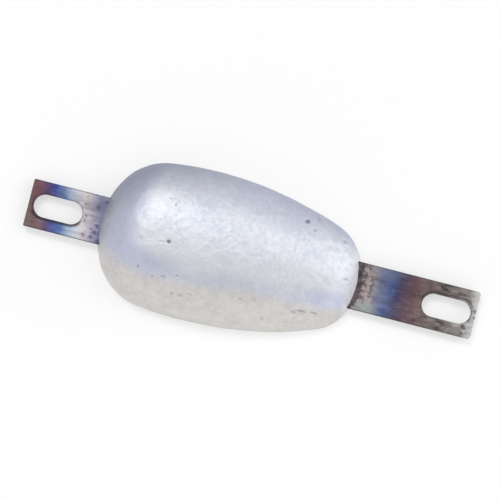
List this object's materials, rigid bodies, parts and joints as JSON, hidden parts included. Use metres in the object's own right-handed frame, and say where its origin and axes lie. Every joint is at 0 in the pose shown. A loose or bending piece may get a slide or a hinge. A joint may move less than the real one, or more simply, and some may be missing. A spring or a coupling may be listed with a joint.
{
  "type": "sacrificial anode",
  "caption": "Pear-shaped zinc hull anode, domed in front and flat behind, cast round a flat steel bar with a stud slot near each end.",
  "frame": {"origin": "on the flat back face of the zinc, on the strap's centreline, midway between the two slots", "axes": "+X along the strap toward the narrow end of the body, +Z out of the dome, away from the hull; +Y completes the frame"},
  "size_m": [0.238, 0.0798, 0.028],
  "materials": {
    "cast_zinc": "satin as-cast zinc, light bluish silver",
    "strap_steel": "mild steel with blue, purple and brown heat tint"
  },
  "bodies": {
    "root": {"anode_body": "cast_zinc", "fixing_strap": "strap_steel"}
  },
  "joints": []
}
